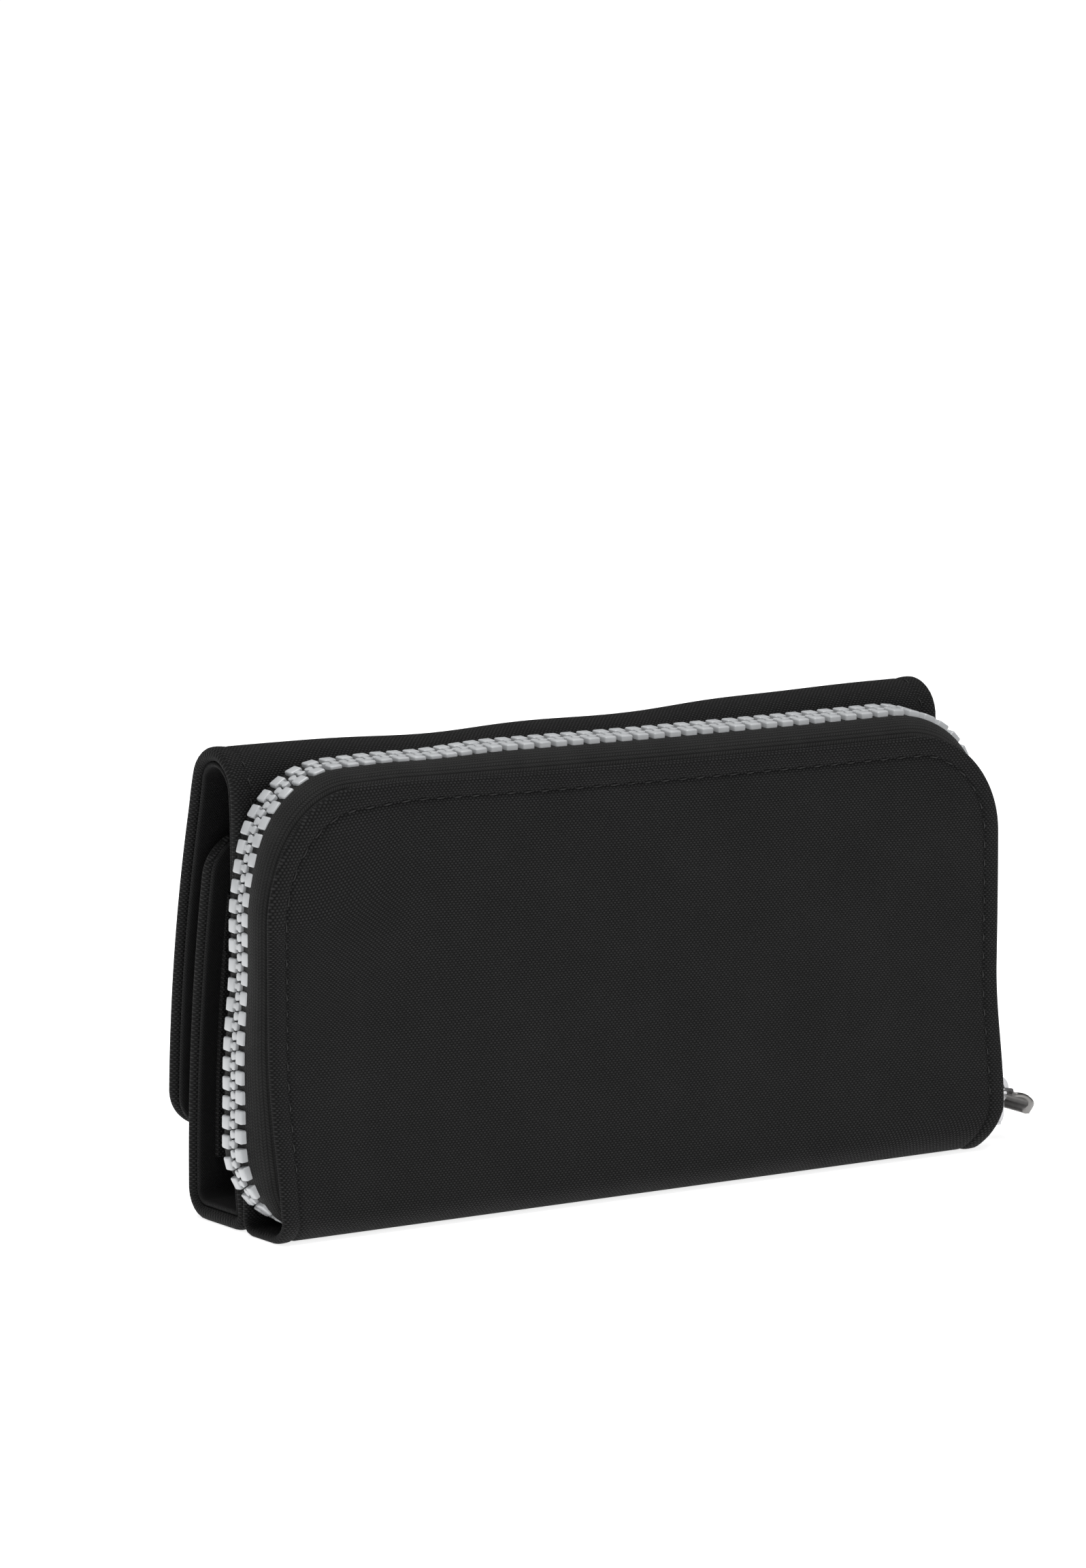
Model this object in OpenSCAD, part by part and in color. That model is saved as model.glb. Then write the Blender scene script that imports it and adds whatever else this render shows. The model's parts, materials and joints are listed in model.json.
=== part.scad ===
// Long trifold wallet in nylon with a zip-round coin pocket on its back.
// It stands on its bottom folds: +Z is up, the coin pocket faces -Y and the flap hangs on +Y.
// The origin is on the underside of the bottom fold, at the middle of the width.

/* [Wallet] */
// Width of the folded wallet
wallet_w = 170.8; // [150:0.2:176]
// Height to the top of the fold
wallet_h = 98; // [94:0.5:104]
// Depth of the bottom fold, from the back to the front
bottom_d = 20.6; // [19:0.1:22]
// Outside radius of the top fold
fold_r = 8.3; // [8:0.1:9]
// Length of the flap below the top fold
flap_len = 76; // [60:1:78]
// How far the flap leans outwards where it leaves the top fold, in degrees
flap_lean = 16; // [14:0.5:18]
// How far the top of the inner panel leans towards the back, in degrees
inner_lean = 12.3; // [11:0.1:13]
// Radius of the arc that the inner panel follows
inner_bow_r = 334; // [320:1:340]

/* [Coin pocket] */
// Width of the front panel, hem to hem
panel_w = 179.2; // [170:0.2:186]
// Height of the front panel
panel_h = 91.3; // [86:0.1:93]
// Depth of the pocket, from the front panel to the wallet's back
pocket_d = 18; // [17:0.5:20]
// Radius of the front panel's top corners
panel_r = 18; // [12:1:22]
// Width of the pocket's bottom fold
pocket_bottom_w = 173; // [160:1:176]

/* [Zip] */
// Distance from one tooth to the next in a row
tooth_pitch = 4; // [3.6:0.1:4.4]
// Length of a tooth along the tape
tooth_len = 2.7; // [2.2:0.1:2.8]
// Width of the closed chain
chain_w = 8.3; // [8:0.1:8.6]
// Thickness of a tooth
tooth_t = 2.4; // [2:0.1:2.6]
// Depth of the chain's middle behind the front panel
chain_depth = 12.9; // [12.5:0.1:13.2]
// Height of the parked slider's middle
slider_z = 11; // [10.5:0.1:12]

/* [Press stud] */
// Height of the stud above the table
stud_z = 31; // [26:1:36]
// Radius of the cap on the flap
cap_r = 6.5; // [5.5:0.1:7.5]

/* [Hidden] */

nylon = [0.06, 0.06, 0.065];
lining_colour = [0.1, 0.1, 0.11];
board = [0.45, 0.42, 0.38];
tape_colour = [0.09, 0.09, 0.095];
tooth_colour = [0.6, 0.61, 0.63];
metal = [0.82, 0.82, 0.84];
pull_metal = [0.42, 0.41, 0.40];

// Layers, as distances in from the outside surface
nylon_t = 1.5;
board_d0 = 1.7;
board_d1 = 2.5;
lining_d0 = 2.6;
lining_d1 = 3.6;
slot_t = 0.45;
slot_gap = 0.1;
slot_w = 162;
seam = 0.1;
round_steps = 10;

// The main planes, front to back
front_y = -25;
back_y = front_y + pocket_d;
fold_y = back_y + fold_r;
fold_z = wallet_h - fold_r;
inner_y = back_y + bottom_d;
inner_hinge_z = 9;
clip_y = 40;
bottom_r = 6;

// Hinge angles round the top fold, and the play left beside each
rear_hinge_a = 150;
crown_hinge_a = 90;
front_hinge_a = 30;
hinge_play_a = 0.7;

flap_r = flap_len / (flap_lean * PI / 180);
flap_corner_r = 8;
inner_corner_r = 9;
panel_hinge_z = 5;
panel_t = 1.4;
pocket_fold_t = 1.2;
pocket_fold_top = 12;

// Zip chain
chain_y = front_y + chain_depth;
tape_t = 0.6;
tape_x = panel_w / 2 + 1;
tape_top = panel_h + 3.7;
tape_r = panel_r + 3;
chain_arc_z = tape_top - tape_r;
row_gap = 1.1;
lean_top_z = 72;
lean_dy = 4.5;
lean_a = atan(lean_dy / (lean_top_z - slider_z));
near_right_z = 20.5;
far_right_z = 6.5;
left_end_z = 21;
end_bend_r = 9.5;

// Slider
slider_len = 14;
slider_half_w = 5.5;
plate_t = 1.2;
channel = 1.5;
ring_r = 3;
ring_hole_r = 1.9;
ring_lift = 1.4;
pin_r = 0.8;
hinge_x = channel + plate_t + ring_lift;

function arc(c, r, a0, a1, n) =
    [for (i = [0:n]) let (a = a0 + (a1 - a0) * i / n) c + r * [cos(a), sin(a)]];
function reversed(p) = [for (i = [len(p) - 1:-1:0]) p[i]];
function fold_arc(d, a0, a1) = arc([fold_y, fold_z], fold_r - d, a0, a1, round_steps);
function flap_centre() = [fold_y, fold_z] + (fold_r - flap_r) * [cos(flap_lean), sin(flap_lean)];
function flap_arc(d, a0, a1) = arc(flap_centre(), flap_r - d, a0, a1, round_steps);
function inner_arc(d, a0, a1) =
    arc([inner_y - inner_bow_r, inner_hinge_z], inner_bow_r - d, a0, a1, round_steps);

// A sheet between two curves that have the same number of points
module between(p, q) { polygon(concat(p, reversed(q))); }

// Extrudes a Y-Z outline along the width
module along_x(w) { translate([-w / 2, 0, 0]) rotate([90, 0, 90]) linear_extrude(w) children(); }

// Extrudes an X-Z outline from y0 to y1
module along_y(y0, y1) {
    translate([0, y1, 0]) rotate([90, 0, 0]) linear_extrude(y1 - y0) children();
}

// A rectangle with round corners at the top
module round_top(w, z0, z1, r) {
    translate([-w / 2, z0]) square([w, z1 - r - z0]);
    translate([-w / 2 + r, z0]) square([w - 2 * r, z1 - z0]);
    for (s = [-1, 1]) translate([s * (w / 2 - r), z1 - r]) circle(r, $fn = 48);
}

// The same with the round corners at the bottom
module round_bottom(w, z0, z1, r) {
    translate([0, z0 + z1]) mirror([0, 1]) round_top(w, z0, z1, r);
}

// ---- Back of the wallet

module back_sheet(d0, d1, z0, z1) {
    translate([-wallet_w / 2, back_y + d0, z0]) cube([wallet_w, d1 - d0, z1 - z0]);
}

module back_fold_sheet(d0, d1) {
    back_sheet(d0, d1, inner_hinge_z + seam, fold_z);
    along_x(wallet_w) between(fold_arc(d0, 180, rear_hinge_a + hinge_play_a),
        fold_arc(d1, 180, rear_hinge_a + hinge_play_a));
}

module back_outer() { color(nylon) back_fold_sheet(0, nylon_t); }

module back_stiffener() { color(board) back_sheet(board_d0, board_d1, 12, fold_z - 2); }

module back_lining() { color(lining_colour) back_fold_sheet(lining_d0, lining_d1); }

// One row of card slots: a panel as wide as two cards side by side
module back_slot(tier, z1) {
    d0 = lining_d1 + slot_gap + tier * (slot_t + slot_gap);
    z0 = inner_hinge_z + 2;
    color(nylon) translate([-slot_w / 2, back_y + d0, z0]) cube([slot_w, slot_t, z1 - z0]);
}

module back_slot_upper() { back_slot(0, 78); }

module back_slot_middle() { back_slot(1, 66); }

module back_slot_lower() { back_slot(2, 54); }

module bottom_fold_sheet(d0, d1) {
    r0 = bottom_r - d0;
    r1 = bottom_r - d1;
    c_back = [back_y + bottom_r, bottom_r];
    c_front = [inner_y - bottom_r, bottom_r];
    top = inner_hinge_z - seam;
    outside = concat([[back_y + d0, top]], arc(c_back, r0, 180, 270, round_steps),
        arc(c_front, r0, 270, 360, round_steps), [[inner_y - d0, top]]);
    inside = concat([[back_y + d1, top]], arc(c_back, r1, 180, 270, round_steps),
        arc(c_front, r1, 270, 360, round_steps), [[inner_y - d1, top]]);
    along_x(wallet_w) between(outside, inside);
}

module bottom_fold_outer() { color(nylon) bottom_fold_sheet(0, nylon_t); }

module bottom_fold_lining() { color(lining_colour) bottom_fold_sheet(lining_d0, lining_d1); }

// ---- Top fold: two strips between three hinge lines on the outside of the fold

module fold_strip(d0, d1, a0, a1) {
    along_x(wallet_w) between(fold_arc(d0, a0 - hinge_play_a, a1 + hinge_play_a),
        fold_arc(d1, a0 - hinge_play_a, a1 + hinge_play_a));
}

module fold_rear_outer() { color(nylon) fold_strip(0, nylon_t, rear_hinge_a, crown_hinge_a); }

module fold_rear_lining() {
    color(lining_colour) fold_strip(lining_d0, lining_d1, rear_hinge_a, crown_hinge_a);
}

module fold_front_outer() { color(nylon) fold_strip(0, nylon_t, crown_hinge_a, front_hinge_a); }

module fold_front_lining() {
    color(lining_colour) fold_strip(lining_d0, lining_d1, crown_hinge_a, front_hinge_a);
}

// ---- Flap

// A sheet of the flap from angle a0 on its bow to a1, with round lower corners
module flap_sheet(d0, d1, a0, a1) {
    intersection() {
        along_x(wallet_w) between(flap_arc(d0, a0, a1), flap_arc(d1, a0, a1));
        along_y(back_y, clip_y) round_bottom(wallet_w, flap_tip_z(), wallet_h, flap_corner_r);
    }
}

function flap_tip_z() = flap_centre()[1] - 0.3;

module flap_fold_sheet(d0, d1) {
    flap_sheet(d0, d1, flap_lean, 0);
    along_x(wallet_w) between(fold_arc(d0, front_hinge_a - hinge_play_a, flap_lean),
        fold_arc(d1, front_hinge_a - hinge_play_a, flap_lean));
}

// Places a piece on the flap at the stud's height, with its own +Y out of the flap
module at_flap_stud() {
    a = asin((stud_z - flap_centre()[1]) / flap_r);
    p = flap_centre() + flap_r * [cos(a), sin(a)];
    translate([0, p[0], p[1]]) rotate([a, 0, 0]) children();
}

// The same on the outside of the inner panel
module at_inner_stud() {
    a = asin((stud_z - inner_hinge_z) / inner_bow_r);
    p = [inner_y - inner_bow_r, inner_hinge_z] + inner_bow_r * [cos(a), sin(a)];
    translate([0, p[0], p[1]]) rotate([a, 0, 0]) children();
}

// A round piece along Y from y0 to y1
module disc(r, y0, y1) {
    translate([0, y0, 0]) rotate([-90, 0, 0]) cylinder(r = r, h = y1 - y0, $fn = 48);
}

stem_r = 1.6;
stem_hole_r = 1.9;

module flap_outer() {
    color(nylon) difference() {
        flap_fold_sheet(0, nylon_t);
        at_flap_stud() disc(stem_hole_r, -6, 2);
    }
}

module flap_stiffener() {
    color(board) difference() {
        intersection() {
            flap_sheet(board_d0, board_d1, flap_lean - 1, 1);
            along_y(back_y, clip_y) square([wallet_w - 4, 2 * wallet_h], center = true);
        }
        at_flap_stud() disc(stem_hole_r, -6, 2);
    }
}

module flap_lining() {
    color(lining_colour) difference() {
        flap_fold_sheet(lining_d0, lining_d1);
        at_flap_stud() disc(stem_hole_r, -6, 2);
    }
}

// A flat pocket on the inside of the flap, open towards the fold
module flap_slip_pocket() {
    color(nylon) intersection() {
        flap_sheet(lining_d1 + slot_gap, lining_d1 + slot_gap + slot_t, 12, 6);
        along_y(back_y, clip_y) square([slot_w - 10, 2 * wallet_h], center = true);
    }
}

module stud_cap() {
    color(metal) at_flap_stud() {
        difference() {
            union() {
                disc(cap_r, 0.1, 0.9);
                disc(cap_r - 1, 0.9, 1.4);
            }
            disc(cap_r - 2.5, 1.15, 2);
        }
        disc(stem_r, -2.2, 0.1);
    }
}

module stud_socket() {
    color(metal) at_flap_stud() difference() {
        disc(5, -lining_d1 - 1.1, -lining_d1 - 0.1);
        disc(2.3, -lining_d1 - 2, -2.3);
    }
}

// ---- Inner panel

module inner_sheet(d0, d1, a0, a1) {
    intersection() {
        along_x(wallet_w) between(inner_arc(d0, a0, a1), inner_arc(d1, a0, a1));
        along_y(back_y, clip_y) round_top(wallet_w, 0, inner_top_z(), inner_corner_r);
    }
}

function inner_top_z() = inner_hinge_z + inner_bow_r * sin(inner_lean) - 0.2;

inner_start_a = 0.04;

module inner_outer() {
    color(nylon) difference() {
        inner_sheet(0, nylon_t, inner_start_a, inner_lean);
        at_inner_stud() disc(stem_hole_r, -6, 2);
    }
}

module inner_stiffener() {
    color(board) difference() {
        intersection() {
            inner_sheet(board_d0, board_d1, 0.4, inner_lean - 0.4);
            along_y(back_y, clip_y) square([wallet_w - 4, 2 * wallet_h], center = true);
        }
        at_inner_stud() disc(stem_hole_r, -6, 2);
    }
}

module inner_lining() {
    color(lining_colour) difference() {
        inner_sheet(lining_d0, lining_d1, inner_start_a, inner_lean);
        at_inner_stud() disc(stem_hole_r, -6, 2);
    }
}

module inner_slot(tier, a1) {
    d = lining_d1 + slot_gap + 0.5 + tier * (slot_t + slot_gap);
    color(nylon) intersection() {
        inner_sheet(d, d + slot_t, 0.6, a1);
        along_y(back_y, clip_y) square([slot_w, 2 * wallet_h], center = true);
    }
}

module inner_slot_upper() { inner_slot(0, 10.4); }

module inner_slot_lower() { inner_slot(1, 8.2); }

module stud_post() {
    color(metal) at_inner_stud() {
        disc(4.6, 0.1, 0.9);
        disc(1.7, 0.9, 2.4);
    }
}

module stud_rivet() {
    color(metal) at_inner_stud() {
        disc(4.2, -lining_d1 - 0.5, -lining_d1 - 0.1);
        disc(stem_r, -lining_d1 - 0.1, 0);
    }
}

// ---- Coin pocket: front panel, lining and bottom fold

module panel_sheet(w, y0, y1, z1, r) {
    along_y(y0, y1) round_top(w, panel_hinge_z + seam, z1, r);
}

module panel_outer() {
    color(nylon) panel_sheet(panel_w, front_y, front_y + panel_t, panel_h, panel_r);
}

module panel_lining() {
    color(lining_colour) panel_sheet(panel_w - 2, front_y + panel_t + seam, front_y + panel_t + 0.6,
        panel_h - 1, panel_r - 1);
}

module pocket_bottom_fold() {
    r0 = panel_hinge_z;
    r1 = r0 - pocket_fold_t;
    y1 = back_y - 0.1;
    outside = concat(arc([front_y + r0, r0], r0, 181, 270, round_steps),
        arc([y1 - r0, r0], r0, 270, 360, round_steps), [[y1, pocket_fold_top]]);
    inside = concat(arc([front_y + r0, r0], r1, 181, 270, round_steps),
        arc([y1 - r0, r0], r1, 270, 360, round_steps),
        [[y1 - pocket_fold_t, pocket_fold_top]]);
    color(nylon) along_x(pocket_bottom_w) between(outside, inside);
}

module pocket_back_lining() {
    color(lining_colour) along_y(back_y - 1.3, back_y - 0.8)
        round_top(panel_w - 6, pocket_fold_top + 0.2, tape_top - 2, tape_r - 2);
}

// ---- Zip: tapes, teeth and stops

// The tape's round-cornered loop, seen from the front
module tape_loop(width) {
    d = tape_t / 2;
    difference() {
        round_top(2 * (tape_x + d), 0, tape_top + d, tape_r + d);
        translate([0, -1]) round_top(2 * (tape_x + d - width), 0, tape_top + d - width + 1, tape_r + d - width);
    }
}

// Depth of the chain's middle at height z on the right side, where it runs forwards to the corner
function right_chain_y(z) = chain_y - max(0, lean_top_z - z) * tan(lean_a);

// The near side of the chain, as seen from the end. dy moves its edge back.
module right_near_region(dy) {
    polygon([[front_y - 1, -2], [right_chain_y(-2) + dy, -2], [right_chain_y(lean_top_z) + dy, lean_top_z],
        [chain_y + dy, wallet_h + 5], [front_y - 1, wallet_h + 5]]);
}

module right_block(dy) { translate([80, 0, 0]) along_x(40) right_near_region(dy); }

module near_tape() {
    y0 = front_y + panel_t + 0.7;
    edge = -chain_w / 2 - seam;
    color(tape_colour) intersection() {
        along_y(y0, chain_y + edge) tape_loop(tape_t);
        union() {
            translate([-tape_x - 10, y0, left_end_z]) cube([tape_x + 90, pocket_d, wallet_h]);
            intersection() {
                right_block(edge);
                translate([80, front_y, near_right_z - 2]) cube([40, pocket_d, wallet_h]);
            }
        }
    }
}

module far_tape() {
    flange_y0 = back_y - 0.7;
    edge = chain_w / 2 + seam;
    color(tape_colour) {
        along_y(flange_y0, back_y - 0.1) difference() {
            tape_loop(9);
            translate([-tape_x - 10, -1]) square([2 * tape_x + 20, pocket_fold_top + 1.5]);
        }
        difference() {
            along_y(right_chain_y(0) + edge, flange_y0) tape_loop(tape_t);
            right_block(edge);
            translate([-tape_x - 10, front_y, -1]) cube([tape_x + 90, pocket_d - 0.75, wallet_h + 5]);
            translate([-tape_x - 10, front_y, -1]) cube([2 * tape_x + 20, pocket_d, far_right_z]);
        }
    }
}

// One moulded tooth: a clamping body with a nose towards the other row.
// Its own +X is out of the pocket, and side is 1 for the far row and -1 for the near row.
module tooth(side) {
    body_w = 2.5;
    nose_w = chain_w / 2 - row_gap / 2 - body_w;
    mirror([0, side > 0 ? 0 : 1, 0]) {
        translate([-tooth_t / 2, chain_w / 2 - body_w, -tooth_len / 2]) cube([tooth_t, body_w, tooth_len]);
        translate([-tooth_t / 2 + 0.4, row_gap / 2, -tooth_len / 4])
            cube([tooth_t - 0.8, nose_w, tooth_len / 2]);
    }
}

// The chain's route, counted along the tape from height z0 on the right side
side_len = chain_arc_z;
corner_len = tape_r * PI / 2;
top_len = 2 * (tape_x - tape_r);

module on_chain(s) {
    if (s < side_len) {
        lean = s < lean_top_z ? lean_a : 0;
        translate([tape_x, right_chain_y(s), s]) rotate([-lean, 0, 0]) children();
    } else if (s < side_len + corner_len) {
        a = (s - side_len) / corner_len * 90;
        translate([tape_x - tape_r + tape_r * cos(a), chain_y, chain_arc_z + tape_r * sin(a)])
            rotate([0, -a, 0]) children();
    } else if (s < side_len + corner_len + top_len) {
        translate([tape_x - tape_r - (s - side_len - corner_len), chain_y, tape_top])
            rotate([0, -90, 0]) children();
    } else if (s < side_len + 2 * corner_len + top_len) {
        a = 90 + (s - side_len - corner_len - top_len) / corner_len * 90;
        translate([-tape_x + tape_r + tape_r * cos(a), chain_y, chain_arc_z + tape_r * sin(a)])
            rotate([0, -a, 0]) children();
    } else {
        translate([-tape_x, chain_y, chain_arc_z - (s - side_len - 2 * corner_len - top_len)])
            rotate([0, 180, 0]) children();
    }
}

chain_end = 2 * side_len + 2 * corner_len + top_len - left_end_z;

module teeth_row(side, s0) {
    last = floor((chain_end - tooth_len / 2 - s0) / tooth_pitch);
    for (i = [0:last]) on_chain(s0 + i * tooth_pitch) tooth(side);
}

module far_teeth() { color(tooth_colour) teeth_row(1, far_right_z + tooth_len / 2 + tooth_pitch / 2); }

module near_teeth() {
    skipped = ceil((near_right_z - far_right_z) / tooth_pitch);
    color(tooth_colour) teeth_row(-1, far_right_z + tooth_len / 2 + skipped * tooth_pitch);
}

// The end of the chain that never opens bends forwards into the pocket's lower corner
module on_end_bend(a) {
    x = -tape_x + a / 90 * 3;
    y = chain_y - end_bend_r + end_bend_r * cos(a);
    z = left_end_z - 2 - end_bend_r * sin(a);
    translate([x, y, z]) rotate([0, 180, 0]) rotate([a, 0, 0]) children();
}

module closed_end_teeth() {
    step = tooth_pitch / (PI * end_bend_r) * 180;
    color(tooth_colour) for (i = [0:2]) {
        on_end_bend((i + 0.1) * step) end_tooth(1);
        if (i < 2) on_end_bend((i + 0.6) * step) end_tooth(-1);
    }
}

// A tooth on the bend, shorter so that the row turns without touching
module end_tooth(side) {
    w = side > 0 ? 3 : 2;
    l = side > 0 ? tooth_len : 1.6;
    mirror([0, side > 0 ? 0 : 1, 0])
        translate([-tooth_t / 2, row_gap / 2, -l / 2]) cube([tooth_t, w, l]);
}

module bottom_stop() {
    color(tooth_colour) on_end_bend(80) translate([-tooth_t / 2, -2.6, -0.8]) cube([tooth_t, 5.2, 1.6]);
}

module top_stop() {
    z = far_right_z - 3.9;
    color(tooth_colour) on_chain(z) translate([-1, 0.8, -0.6]) cube([2, 3, 1.2]);
}

// ---- Slider and pull

// Puts a piece on the parked slider: its own +X is out of the pocket and +Z is along the chain
module at_slider() {
    translate([tape_x, right_chain_y(slider_z), slider_z]) rotate([-lean_a, 0, 0]) children();
}

module slider_plate_outline() {
    tail_w = 4.2;
    r = 3;
    dy = slider_half_w - r;
    dz = slider_len / 2 - r;
    translate([-slider_half_w, -dz]) square([2 * slider_half_w, 2 * dz]);
    translate([-tail_w, -slider_len / 2]) square([2 * tail_w, slider_len]);
    for (sy = [-1, 1], sz = [-1, 1]) translate([sy * dy, sz * dz]) circle(r, $fn = 40);
}

// Extrudes a Y-Z outline on the slider from x0 to x1
module slider_extrude(x0, x1) {
    translate([x0, 0, 0]) rotate([90, 0, 90]) linear_extrude(x1 - x0) children();
}

module slider_body() {
    flange_gap = 0.65;
    flange_w = slider_half_w - chain_w / 2 - 0.35;
    neck_h = 3;
    color(metal) at_slider() {
        for (s = [0, 1]) mirror([s, 0, 0]) {
            slider_extrude(channel, channel + plate_t) slider_plate_outline();
            for (sy = [0, 1]) mirror([0, sy, 0])
                translate([flange_gap, slider_half_w - flange_w, -4]) cube([channel - flange_gap, flange_w, 8]);
        }
        translate([-channel, -0.4, -slider_len / 2 + 0.6]) cube([2 * channel, 0.8, neck_h]);
    }
}

module slider_crown() {
    color(metal) at_slider() intersection() {
        slider_extrude(channel + plate_t, hinge_x + ring_r + 1) square([4, 12], center = true);
        translate([hinge_x, 1.3, 0]) rotate([90, 0, 0]) difference() {
            cylinder(r = ring_r, h = 2.6, $fn = 60);
            translate([0, 0, -1]) cylinder(r = ring_hole_r, h = 4.6, $fn = 60);
        }
    }
}

arm_y = 2.5;
grip_x0 = 3.6;
grip_x1 = 10.6;
grip_half_w = 6;
grip_t = 1.6;
lip_h = 4.6;

module pull_link() {
    color(metal) at_slider() translate([hinge_x, 0, 0]) {
        rotate([90, 0, 0]) translate([0, 0, -arm_y]) cylinder(r = pin_r, h = 2 * arm_y, $fn = 32);
        for (s = [-1, 1])
            translate([0, s * (arm_y + 0.4) - 0.4, -pin_r]) cube([grip_x0, 0.8, 2 * pin_r]);
    }
}

// A flat cast tab with a finger lip turned down at its outer end
module pull_grip() {
    r = 3;
    color(pull_metal) at_slider() translate([hinge_x, 0, 0]) {
        difference() {
            translate([0, 0, -grip_t / 2]) linear_extrude(grip_t) {
                translate([grip_x0, -grip_half_w]) square([grip_x1 - grip_x0 - r, 2 * grip_half_w]);
                translate([grip_x0, -grip_half_w + r]) square([grip_x1 - grip_x0, 2 * grip_half_w - 2 * r]);
                for (s = [-1, 1]) translate([grip_x1 - r, s * (grip_half_w - r)]) circle(r, $fn = 40);
            }
            translate([grip_x0 + 1.6, -grip_half_w + 2, grip_t / 2 - 0.5])
                cube([grip_x1 - grip_x0 - 3.4, 2 * grip_half_w - 4, 1]);
        }
        translate([grip_x1 - 1.5, -grip_half_w + r, -lip_h])
            cube([1.5, 2 * grip_half_w - 2 * r, lip_h - grip_t / 2]);
    }
}

back_outer();
back_stiffener();
back_lining();
back_slot_upper();
back_slot_middle();
back_slot_lower();
bottom_fold_outer();
bottom_fold_lining();
pocket_back_lining();
pocket_bottom_fold();
far_tape();
far_teeth();
closed_end_teeth();
bottom_stop();
top_stop();
fold_rear_outer();
fold_rear_lining();
fold_front_outer();
fold_front_lining();
flap_outer();
flap_stiffener();
flap_lining();
flap_slip_pocket();
stud_cap();
stud_socket();
inner_outer();
inner_stiffener();
inner_lining();
inner_slot_upper();
inner_slot_lower();
stud_post();
stud_rivet();
panel_outer();
panel_lining();
near_tape();
near_teeth();
slider_body();
slider_crown();
pull_link();
pull_grip();
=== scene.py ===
import json
import math

import bmesh
import bpy
import numpy as np
from mathutils import Matrix, Vector


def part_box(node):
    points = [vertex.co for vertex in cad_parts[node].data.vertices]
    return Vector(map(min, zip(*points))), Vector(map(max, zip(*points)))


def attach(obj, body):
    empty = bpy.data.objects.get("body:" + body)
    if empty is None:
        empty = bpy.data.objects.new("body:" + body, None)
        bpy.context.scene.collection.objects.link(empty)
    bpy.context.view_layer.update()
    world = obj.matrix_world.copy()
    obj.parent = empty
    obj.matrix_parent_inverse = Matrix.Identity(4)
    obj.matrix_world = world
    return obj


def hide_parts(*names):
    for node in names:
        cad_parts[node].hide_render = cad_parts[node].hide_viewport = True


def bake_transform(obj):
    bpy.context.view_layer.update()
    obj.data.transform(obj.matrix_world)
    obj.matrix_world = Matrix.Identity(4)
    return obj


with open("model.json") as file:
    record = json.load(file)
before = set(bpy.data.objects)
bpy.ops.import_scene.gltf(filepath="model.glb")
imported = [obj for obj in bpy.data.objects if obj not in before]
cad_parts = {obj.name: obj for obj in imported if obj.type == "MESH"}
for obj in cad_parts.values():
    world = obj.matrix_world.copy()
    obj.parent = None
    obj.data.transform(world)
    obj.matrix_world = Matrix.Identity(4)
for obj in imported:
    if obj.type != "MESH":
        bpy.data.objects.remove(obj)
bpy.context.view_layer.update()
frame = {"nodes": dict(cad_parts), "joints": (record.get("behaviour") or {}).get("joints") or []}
MM = 0.001


# ---- The CAD model's own positions, in millimetres


def box(node):
    return [np.array(corner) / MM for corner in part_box(node)]


def hinge(name):
    joint = next(j for j in frame["joints"] if j["name"] == name)
    return np.array(joint["pos_m"]) / MM


panel_lo, panel_hi = box("panel_outer")
back_lo, back_hi = box("back_outer")
FRONT_Y = panel_lo[1]
BACK_Y = back_lo[1]
PANEL_X = panel_hi[0]
PANEL_TOP = panel_hi[2]
WALLET_X = back_hi[0]
TOP_Z = box("fold_front_outer")[1][2]
INNER_HINGE = hinge("inner_panel_open")
INNER_Y = INNER_HINGE[1]
PULL_HINGE = hinge("pull_swing")

# Radii of the fold's bend and of the flap's and inner panel's slow curves, and how far those two lean
FOLD_R = 8.3
FOLD_C = np.array([BACK_Y + FOLD_R, TOP_Z - FOLD_R])
FLAP_LEAN = math.radians(16)
FLAP_LENGTH = 76
FLAP_R = FLAP_LENGTH / FLAP_LEAN
FLAP_C = FOLD_C + (FOLD_R - FLAP_R) * np.array([math.cos(FLAP_LEAN), math.sin(FLAP_LEAN)])
INNER_R = 334.0
INNER_LEAN = math.radians(12.3)
CHAIN_Y = FRONT_Y + 12.9
PANEL_CORNER = 21.0
STITCH_IN = 3.9


def smooth(a, b, x):
    t = np.clip((np.asarray(x, float) - a) / (b - a), 0, 1)
    return t * t * (3 - 2 * t)


# ---- Materials


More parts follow.
